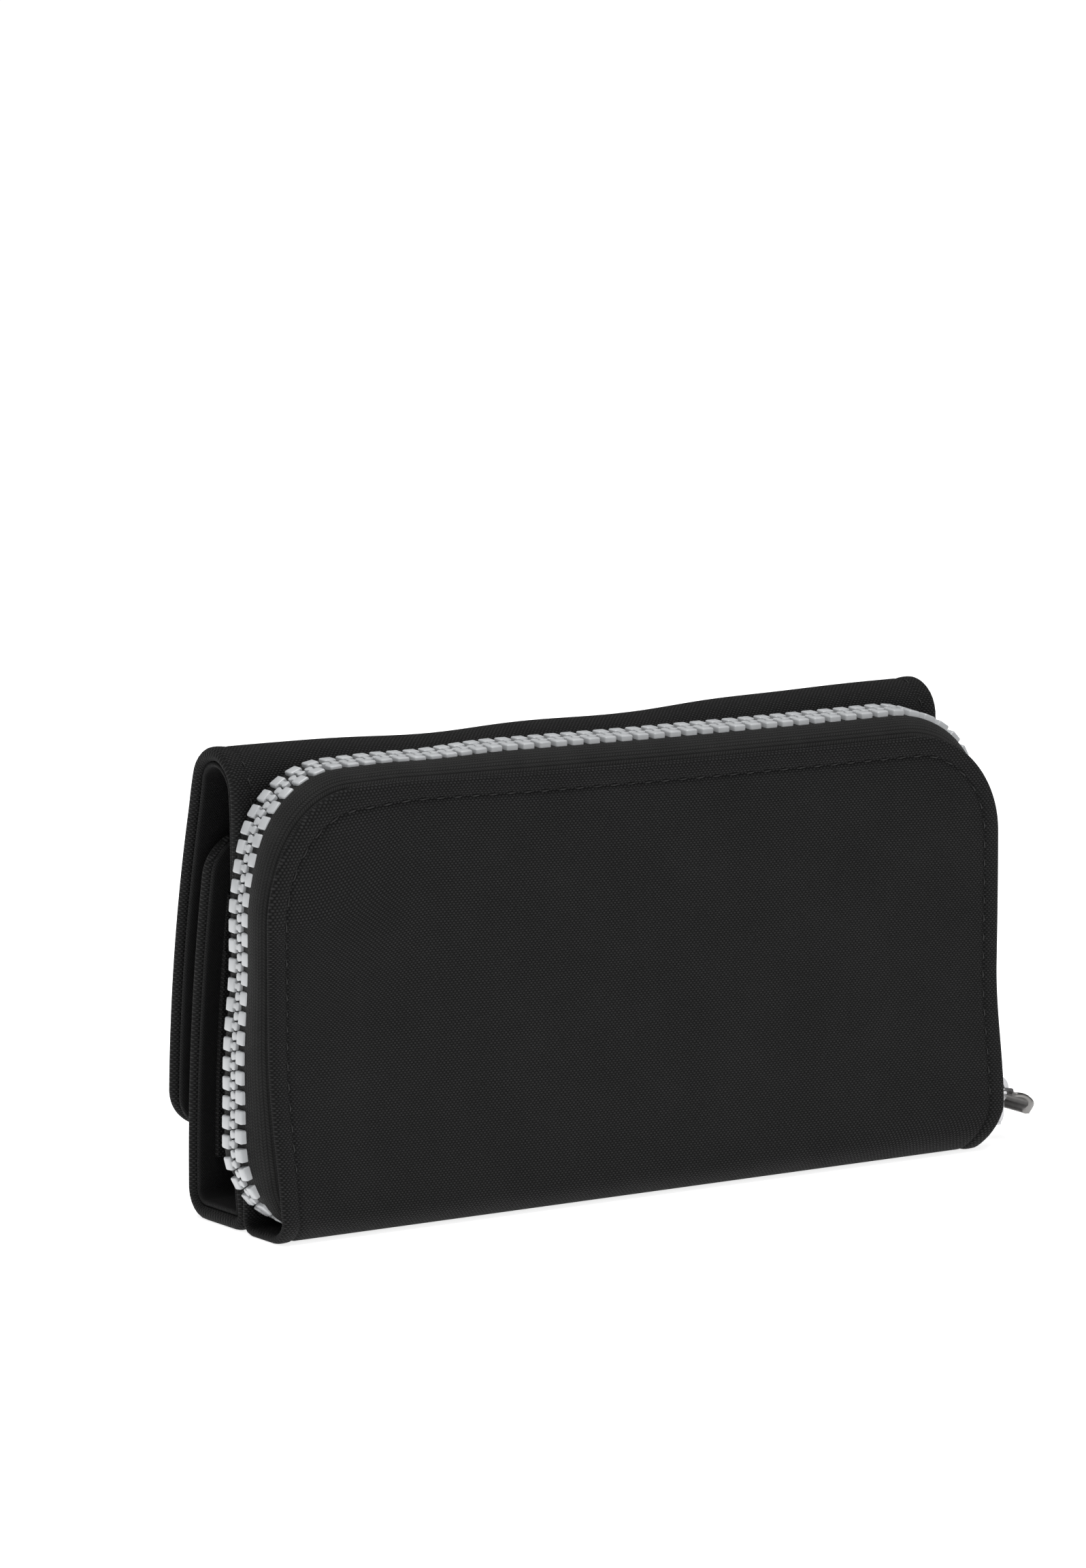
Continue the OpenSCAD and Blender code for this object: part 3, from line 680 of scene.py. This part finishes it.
# How far the chain stands out beyond the panel's edge, at the sides, more along the top, more on the right
SIDE_LIFT, TOP_LIFT, RIGHT_LIFT = 0.3, 3.2, 0.7
# The lower left turn: where it starts, how far it goes in, how far it goes down
BEND_Z, BEND_X, BEND_H = 19.2, 12.6, 15.6
LOOP = Loop()
BEND_S = LOOP.s[np.flatnonzero(LOOP.p[:, 0] < 0)][np.argmax(LOOP.p[LOOP.p[:, 0] < 0, 1] <= BEND_Z)]
LOOP_END = LOOP.s[-1] - 1.5


def on_right(x, z):
    """1 along the straight right-hand side, where the slider runs."""
    return (x > 0) * smooth(72, 60, z)


def chain_point(s):
    """Middle of the closed chain, for distances s round the loop."""
    x, z, nx, nz, top, _, _ = LOOP.at(s)
    out = SIDE_LIFT + TOP_LIFT * top + RIGHT_LIFT * on_right(x, z)
    y = CHAIN_Y - (x > 0) * np.maximum(0, 72 - z) * 4.5 / 61 - 2.6 * smooth(BEND_S, BEND_S + 18, s)
    inward = smooth(-25, -50, x)
    x, z = x + out * nx, z + out * nz
    # It keeps a little further in on the left, and lower at the upper left corner.
    return np.stack([x + 1.8 * inward * smooth(32, 58, z), y, z - 1.3 * inward * smooth(80, 93, z)], -1)


# How far the teeth lean along the left side, and how much of that the top takes back
TEETH_LEAN, TOP_LEAN = math.radians(4), math.radians(6)


def chain_frame(s):
    """The chain's middle, and its directions out, along and across the rows."""
    e = 0.25
    p = chain_point(s)
    along = chain_point(s + e) - chain_point(s - e)
    along /= np.linalg.norm(along, axis=-1)[..., None]
    _, _, nx, nz, top, _, _ = LOOP.at(s)
    out = np.stack([nx, np.zeros_like(nx), nz], -1)
    out -= along * np.sum(out * along, -1)[..., None]
    out /= np.linalg.norm(out, axis=-1)[..., None]
    across = np.cross(along, out)
    lean = ((TEETH_LEAN - TOP_LEAN * top) * (1 - on_right(p[..., 0], p[..., 2])))[..., None]
    return p, out * np.cos(lean) + across * np.sin(lean), along, across * np.cos(lean) - out * np.sin(lean)


def tape_sheet(name, s, rows, uv_across, thick=0.6):
    """A tape from rows of points across it, one row for each s."""
    grid = np.array(rows)
    du = np.gradient(grid, axis=0)
    dv = np.gradient(grid, axis=1)
    normal = np.cross(du, dv)
    normal /= np.linalg.norm(normal, axis=2)[..., None]
    v = np.linspace(0, 1, grid.shape[1])
    lip = np.minimum(1, 6 * np.minimum(v, 1 - v))[None, :, None] * thick / 2
    outer, inner = grid + normal * lip, grid - normal * lip
    uv = np.stack(np.broadcast_arrays(np.asarray(s)[:, None], np.asarray(uv_across)[None, :]), -1)
    return shell(name, outer, inner, uv, TAPE)


near_s = np.linspace(7.0, LOOP_END, 200)
# How far the near tape goes in under the hem, and its width
TUCK, NEAR_WIDTH = 3.2, 11.5


def near_rows():
    """The near tape, from under the panel's hem to the chain."""
    rows = []
    v = np.concatenate([np.linspace(0, 0.3, 10), np.linspace(0.36, 0.92, 9), [0.97, 1.0]])
    p, out, along, across = chain_frame(near_s)
    _, _, nx, nz, top, hx, hz = LOOP.at(near_s)
    edge = np.stack([hx, np.full(len(hx), FRONT_Y + 2.6), hz], -1)
    edge[:, 0] += smooth(BEND_S + 8, LOOP_END, near_s) * 5.0
    tuck = np.stack([nx, np.zeros(len(nx)), nz], -1)
    for i in range(len(near_s)):
        a, b = edge[i], p[i] - across[i] * 0.5
        puff = (0.45 + 0.5 * top[i]) * np.sin(math.pi * v**1.1) * smooth(1.05, 0.5, v)
        under = TUCK * (1 - v) ** 6
        rows.append(a + (b - a) * v[:, None] + out[i] * puff[:, None] - tuck[i] * under[:, None])
    return rows, v * NEAR_WIDTH


rows, widths = near_rows()
near_tape = tape_sheet("near_tape_cloth", near_s, rows, widths)
bend([near_tape], "zip_panel", "wallet_back", (0, FRONT_Y, 24), (0, FRONT_Y, 9))
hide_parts("near_tape")

far_s = np.linspace(4.0, LOOP_END, 200)


def far_rows():
    """The far tape, from the chain back to the wallet, where it is sewn flat."""
    rows = []
    p, out, along, across = chain_frame(far_s)
    for i in range(len(far_s)):
        base = p[i]
        low = smooth(BEND_S + 2, BEND_S + 12, far_s[i])
        wall = [base + across[i] * k * (1 - 0.6 * low) for k in (0.5, 1.5, 3.0, 4.2)]
        gap = BACK_Y - 0.25 - 3.2 * low - wall[-1][1]
        flat = out[i] * [1, 0, 1]
        flat /= np.linalg.norm(flat)
        bent = min(1.0, gap / 1.5) if gap > 0 else 0.1
        turn = [wall[-1] + np.array([0, gap * q, 0]) - flat * r * bent for q, r in
                ((0.35, 0.15), (0.7, 0.5), (0.9, 1.0), (1.0, 2.0), (1.0, 4.0), (1.0, 8.0))]
        rows.append(wall + turn)
    return rows, np.array([0, 1, 2.5, 3.7, 4.3, 4.8, 5.3, 6.2, 8.2, 12.2])  # widths along the bends above


rows, widths = far_rows()
far_tape = tape_sheet("far_tape_cloth", far_s, rows, widths, 0.5)
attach(far_tape, "wallet_back")
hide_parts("far_tape")


# ---- Zip: teeth


def rounded_block(outline, low, high, bevel, segments=2):
    """Vertices and faces of an outline, given as (across, along), extruded outwards, its edges rounded."""
    bm = bmesh.new()
    bottom = [bm.verts.new((low, *p)) for p in outline]
    face = bm.faces.new(bottom)
    grown = bmesh.ops.extrude_face_region(bm, geom=[face])
    for v in grown["geom"]:
        if isinstance(v, bmesh.types.BMVert):
            v.co.x = high
    bmesh.ops.recalc_face_normals(bm, faces=bm.faces[:])
    bmesh.ops.bevel(bm, geom=bm.edges[:], offset=bevel, segments=segments, profile=0.5, affect="EDGES",
                    clamp_overlap=True)
    bm.verts.index_update()
    verts = np.array([v.co for v in bm.verts])
    faces = [[v.index for v in f.verts] for f in bm.faces]
    bm.free()
    return verts, faces


# A tooth in its own frame: a block on the tape, and a waisted nose that reaches across to the other row
BLOCK = rounded_block([(1.4, -1.4), (4.1, -1.4), (4.1, 1.4), (1.4, 1.4)], -1.1, 1.1, 0.38, 3)
NOSE = rounded_block(
    [(1.6, -0.6), (1.6, 0.6), (0.45, 0.55), (0.1, 0.88), (-0.4, 0.88), (-0.85, 0.5),
     (-0.85, -0.5), (-0.4, -0.88), (0.1, -0.88), (0.45, -0.55)], -0.9, 0.9, 0.18)


def to_chain(shape, frame_at, side=1):
    """A shape's points, given as (out, across, along), set on the chain."""
    p, out, along, across = frame_at
    return p + shape[:, :1] * out + side * shape[:, 1:2] * across + shape[:, 2:3] * along


def teeth_mesh(name, places):
    """Teeth at (distance round the loop, side) places; side is 1 for the far row and -1 for the near row."""
    verts, faces, base = [], [], 0
    for s, side in places:
        frame_at = [v[0] for v in chain_frame(np.array([s]))]
        for shape, links in (BLOCK, NOSE):
            verts.append(to_chain(shape, frame_at, side))
            faces += [[v + base for v in f][::-side] for f in links]
            base += len(shape)
    return finish_mesh(name, np.concatenate(verts), faces, PLASTIC, sharp=60)


PITCH = 4.0
FAR_FIRST = 9.85
NEAR_FIRST = FAR_FIRST + PITCH / 2 + 3 * PITCH
STOP_ROOM = 6
far_places = [(s, 1) for s in np.arange(FAR_FIRST, BEND_S + 1, PITCH)]
near_places = [(s, -1) for s in np.arange(NEAR_FIRST, BEND_S + 1, PITCH)]
last_far, last_near = far_places[-1][0], near_places[-1][0]
end_places = [(s, 1) for s in np.arange(last_far + PITCH, LOOP_END - STOP_ROOM, PITCH)]
end_places += [(s, -1) for s in np.arange(last_near + PITCH, LOOP_END - STOP_ROOM, PITCH)]
far_teeth = teeth_mesh("far_teeth_row", far_places)
near_teeth = teeth_mesh("near_teeth_row", near_places)
end_teeth = teeth_mesh("closed_end_row", end_places)
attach(far_teeth, "wallet_back")
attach(near_teeth, "zip_panel")
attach(end_teeth, "wallet_back")
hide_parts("far_teeth")
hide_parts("near_teeth")
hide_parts("closed_end_teeth")
shape, links = rounded_block([(-4.0, -1.2), (4.0, -1.2), (4.0, 1.2), (-4.0, 1.2)], -1.3, 1.3, 0.45, 3)
stop_frame = [v[0] for v in chain_frame(np.array([LOOP_END - 3.5]))]
stop = finish_mesh("bottom_stop_block", to_chain(shape, stop_frame), links, PLASTIC, sharp=60)
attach(stop, "wallet_back")
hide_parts("bottom_stop")


# ---- The trifold: one long sheet from the inner panel, under the bottom, up the back and over to the flap

BOTTOM_R = 6.0
wrap_points = (
    bow((INNER_Y - INNER_R, INNER_HINGE[2]), INNER_R, INNER_LEAN, 0, 0.8)
    + line((INNER_Y, INNER_HINGE[2]), (INNER_Y, BOTTOM_R))
    + bow((INNER_Y - BOTTOM_R, BOTTOM_R), BOTTOM_R, 0, -math.pi / 2)
    + line((INNER_Y - BOTTOM_R, 0), (BACK_Y + 2.6, 0))
    + bow((BACK_Y + 2.6, 3.8), 3.8, -math.pi / 2, -math.pi)
    + line((BACK_Y - 1.2, 3.8), (BACK_Y - 0.3, 11))
    + line((BACK_Y - 0.3, 11), (BACK_Y, 20))
    + line((BACK_Y, 20), (BACK_Y, FOLD_C[1]))
    + bow(FOLD_C, FOLD_R, math.pi, FLAP_LEAN, 0.3)
    + bow(FLAP_C, FLAP_R, FLAP_LEAN, 0, 0.8)
)
WRAP = Path(wrap_points)


def on_fold(degrees, r=FOLD_R):
    a = math.radians(degrees)
    return FOLD_C + r * np.array([math.cos(a), math.sin(a)])


S_BOTTOM = WRAP.nearest(3.0, 0)
S_REAR = WRAP.nearest(*on_fold(120))
S_CREST = WRAP.nearest(*on_fold(90))
S_FRONT = WRAP.nearest(*on_fold(60))
S_TIP = WRAP.s[-1]


def wrap_warp(p, s):
    """Wider towards the fold, which sags between its ends."""
    x = p[..., 0]
    wide = 0.5 + 0.5 * smooth(WRAP.nearest(BACK_Y, 30), S_REAR, s) + 0.6 * smooth(20, 4, np.abs(s - S_CREST))
    sag = 1.9 * smooth(80, 20, np.abs(x + 4)) * (0.85 + 0.15 * np.sin(x * 0.13)) + 0.9 * smooth(30, 85, x)
    near = smooth(26, 2, np.abs(s - S_CREST))
    q = p.copy()
    q[..., 0] *= 1 + wide / WALLET_X
    q[..., 2] -= sag * near
    return q


def wrap_relief(x, s):
    """Slow waves, and a flap that stands off what it covers."""
    calm = smooth(0, 12, np.abs(s - S_CREST)) * smooth(WALLET_X, WALLET_X - 12, np.abs(x))
    wave = np.sin(x * 0.06 + s * 0.05) + 0.5 * np.sin(x * 0.14 - s * 0.09)
    return 0.6 * smooth(S_FRONT, S_FRONT + 12, s) + 0.2 * calm * wave


# For each part of the wrap: its two bodies, and where the bend between them starts and ends
BODIES = {
    "inner": ("inner_panel", "wallet_back", (0, INNER_Y, 16), (0, INNER_Y, 3)),
    "back": ("wallet_back", "fold_rear", (0, BACK_Y, 86), (0, *on_fold(120))),
    "fold": ("fold_rear", "fold_front", (0, *on_fold(120)), (0, *on_fold(60))),
    "flap": ("fold_front", "flap", (0, *on_fold(60)), (0, *(FOLD_C + [9.3, -4.0]))),
}
# For each part: its stretch of the wrap, its ends that are cut where the next part starts, and its corners
SPANS = {
    "inner": ((0.0, S_BOTTOM), ("s1",), (9, 9, 0, 0)),
    "back": ((S_BOTTOM, S_REAR), ("s0", "s1"), (0, 0, 0, 0)),
    "fold": ((S_REAR, S_FRONT), ("s0", "s1"), (0, 0, 0, 0)),
    "flap": ((S_FRONT, S_TIP), ("s0",), (0, 0, 8, 8)),
}
OUTER_NODES = {
    "inner": ["inner_outer"],
    "back": ["back_outer", "bottom_fold_outer"],
    "fold": ["fold_rear_outer", "fold_front_outer"],
    "flap": ["flap_outer"],
}
LINING_NODES = {
    "inner": ["inner_lining"],
    "back": ["back_lining", "bottom_fold_lining"],
    "fold": ["fold_rear_lining", "fold_front_lining"],
    "flap": ["flap_lining"],
}
# The stiffener boards: the body each rides on, and its stretch of the wrap
BOARD_IN = 3
BOARDS = {
    "inner": ("inner_panel", (BOARD_IN, WRAP.nearest(INNER_Y, 12))),
    "back": ("wallet_back", (WRAP.nearest(BACK_Y, 14), WRAP.nearest(BACK_Y, 86))),
    "flap": ("flap", (WRAP.nearest(*(FOLD_C + [9.8, -6.0])), S_TIP - BOARD_IN)),
}

for part, (span, cut, corners) in SPANS.items():
    rows = 0.7 if part == "fold" else 1.6
    cloth = Cloth(WRAP, (-WALLET_X, WALLET_X), span, 2.7, corners=corners, cut=cut, step=(3.0, rows),
                  relief=wrap_relief, warp=wrap_warp)
    cover = cloth.build(part + "_cover", NYLON)
    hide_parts(*OUTER_NODES[part])
    hemmed = {"inner": ("x1", "x0", "s0"), "flap": ("x1", "s1", "x0")}
    if part in hemmed:
        seams = [cloth.seam(STITCH_IN, hemmed[part])]
    else:
        seams = [cloth.seam(STITCH_IN, ("x1",)), cloth.seam(STITCH_IN, ("x0",))]
    if part == "back":
        stitched = [p[:, 1] > WRAP.nearest(BACK_Y, 20) for p, n in seams]
        seams = [(p[keep], n[keep]) for (p, n), keep in zip(seams, stitched)]
    thread = stitch_mesh(part + "_stitches", cloth, seams)
    inside = Cloth(WRAP, (-WALLET_X + 0.7, WALLET_X - 0.7), span, 1.2, depth=2.75,
                   corners=tuple(max(0, c - 1) for c in corners), cut=cut, step=(3.0, rows), groove=0,
                   insets=FLAT, warp=wrap_warp)
    lining = inside.build(part + "_lining_cloth", LINING)
    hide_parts(*LINING_NODES[part])
    if part in BOARDS:
        body, ends = BOARDS[part]
        board = Cloth(WRAP, (-WALLET_X + BOARD_IN, WALLET_X - BOARD_IN), ends, 0.7, depth=1.4, groove=0,
                      step=(6.0, 3.0), corners=tuple(max(0, c - BOARD_IN) for c in corners),
                      insets=[0, 0.1, 0.35, 1.0])
        board = board.build(part + "_board", BOARD)
        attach(board, body)
        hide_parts(part + "_stiffener")
    bend([cover, thread, lining], *BODIES[part])


# ---- Card slots and slip pocket, on the inside of the wallet


def height(part, z):
    """Distance along the wrap at that height, on one of its three walls."""
    low, high = {"inner": (0, S_BOTTOM), "back": (S_BOTTOM, S_REAR), "flap": (S_FRONT, S_TIP)}[part]
    inside = (WRAP.s >= low) & (WRAP.s <= high)
    return WRAP.s[inside][np.argmin(np.abs(WRAP.p[inside, 1] - z))]


# Node, part of the wrap, body, half width, lower and upper height, depth from the outside
SLOTS = [
    ("back_slot_upper", "back", "wallet_back", 81, 11, 78, 4.0),
    ("back_slot_middle", "back", "wallet_back", 81, 11, 66, 4.6),
    ("back_slot_lower", "back", "wallet_back", 81, 11, 54, 5.2),
    ("inner_slot_upper", "inner", "inner_panel", 81, 12.4, 68.5, 4.0),
    ("inner_slot_lower", "inner", "inner_panel", 81, 12.4, 56, 4.6),
    ("flap_slip_pocket", "flap", "flap", 76, 45, 72.8, 4.0),
]
for name, part, body, half, low, high, depth in SLOTS:
    a, b = sorted((height(part, low), height(part, high)))
    layer = Cloth(WRAP, (-half, half), (a, b), 0.55, depth=depth, groove=1.6,
                  insets=[0, 0.08, 0.2, 0.3, 0.8, 1.2, 1.45, 1.6, 1.75, 2.0, 3.0], step=(5.0, 2.5),
                  warp=wrap_warp)
    piece = layer.build(name + "_cloth", NYLON)
    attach(piece, body)
    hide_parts(name)


# ---- Slider's pull: a satin metal tab that curves down at its outer end


def tube(name, points, radius, material, sides=12):
    p = np.array(points, float)
    t = np.gradient(p, axis=0)
    t /= np.linalg.norm(t, axis=1)[:, None]
    side = np.cross(t, [0.03, 0.05, 1.0])
    side /= np.linalg.norm(side, axis=1)[:, None]
    up = np.cross(side, t)
    turn = (np.arange(sides) / sides * 2 * math.pi)[:, None]
    rings = p[:, None] + radius * (side[:, None] * np.cos(turn) + up[:, None] * np.sin(turn))
    ring = [[i * sides + j for j in range(sides)] for i in range(len(p))]
    faces = [[a[j], a[(j + 1) % sides], b[(j + 1) % sides], b[j]] for a, b in zip(ring, ring[1:])
             for j in range(sides)]
    return finish_mesh(name, rings.reshape(-1, 3), faces + [ring[0][::-1], ring[-1]], material, sharp=60)


HINGE_X, HINGE_Y, HINGE_Z = PULL_HINGE
# The middle of the tab's thickness, as distances out and up from the hinge
TAB_LINE = [(1.0, -0.4), (2.2, -0.55), (3.5, -0.8), (4.6, -1.3), (5.4, -2.1), (5.8, -3.1), (5.8, -4.2),
            (5.5, -5.3)]
TAB_HALF = 6.0
TAB_BEVEL = 0.45


def make_tab():
    """A tab that is dished on top, and thicker and narrower where it curves down."""
    t = np.linspace(0, len(TAB_LINE) - 1, 40)
    rail = np.stack([np.interp(t, range(len(TAB_LINE)), row) for row in np.array(TAB_LINE).T], 1)
    for _ in range(3):
        rail[1:-1] = (rail[:-2] + 2 * rail[1:-1] + rail[2:]) / 4
    along = np.gradient(rail, axis=0)
    along /= np.linalg.norm(along, axis=1)[:, None]
    far = np.linspace(0, 1, len(rail))
    half = TAB_HALF - 1.9 * smooth(0.62, 1.0, far) - 0.8 * smooth(0.12, 0.0, far)
    v = np.concatenate([[-1, -0.985, -0.95, -0.88], np.linspace(-0.78, 0.78, 15), [0.88, 0.95, 0.985, 1]])
    length = 11.0
    rim = np.minimum((1 - np.abs(v))[None, :] * half[:, None], (np.minimum(far, 1 - far) * length)[:, None])
    thick = (0.5 + 0.6 * smooth(0.45, 0.85, far))[:, None]
    lip = thick * np.sqrt(np.clip(1 - np.clip(1 - rim / TAB_BEVEL, 0, 1) ** 2, 0, 1))
    dish = 0.3 * smooth(1.0, 1.8, rim) * smooth(0.6, 0.5, far)[:, None]
    mid = np.stack([np.broadcast_to(HINGE_X + rail[:, :1], rim.shape), HINGE_Y + half[:, None] * v[None, :],
                    np.broadcast_to(HINGE_Z + rail[:, 1:], rim.shape)], -1)
    normal = np.stack([-along[:, 1], np.zeros(len(rail)), along[:, 0]], -1)[:, None]
    top, under = mid + normal * (lip - dish)[..., None], mid - normal * lip[..., None]
    return shell("pull_tab", top, under, mid[..., :2], SATIN)


def make_wire():
    """The link: a pin through the crown, and an arm at each end of it out to the tab."""
    arm = [(2.6, -0.35), (1.2, -0.1), (0.4, 0.0)]
    pin = [-2.6, -2.0, *np.linspace(-1.2, 1.2, 4), 2.0, 2.6]
    points = [(x, -2.9, z) for x, z in arm] + [(0, y, 0) for y in pin] + [(x, 2.9, z) for x, z in arm[::-1]]
    return tube("pull_wire", PULL_HINGE + np.array(points), 0.7, CHROME)


tab, wire = make_tab(), make_wire()
for piece in (tab, wire):
    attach(piece, "zip_pull")
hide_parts("pull_grip")
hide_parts("pull_link")


# ---- CAD pieces that stay, with their edges softened

KEPT = {
    STUD: ["stud_cap", "stud_socket", "stud_post", "stud_rivet"],
    CHROME: ["slider_body", "slider_crown"],
    PLASTIC: ["top_stop"],
}
for material, names in KEPT.items():
    for name in names:
        node = frame["nodes"][name]
        node.data.materials.clear()
        node.data.materials.append(material)
        soft = node.modifiers.new("soft", "BEVEL")
        soft.width, soft.segments, soft.limit_method = 0.25 * MM, 3, "ANGLE"
        soft.angle_limit = math.radians(35)
        node.data.polygons.foreach_set("use_smooth", [True] * len(node.data.polygons))
        node.data.set_sharp_from_angle(angle=math.radians(40))
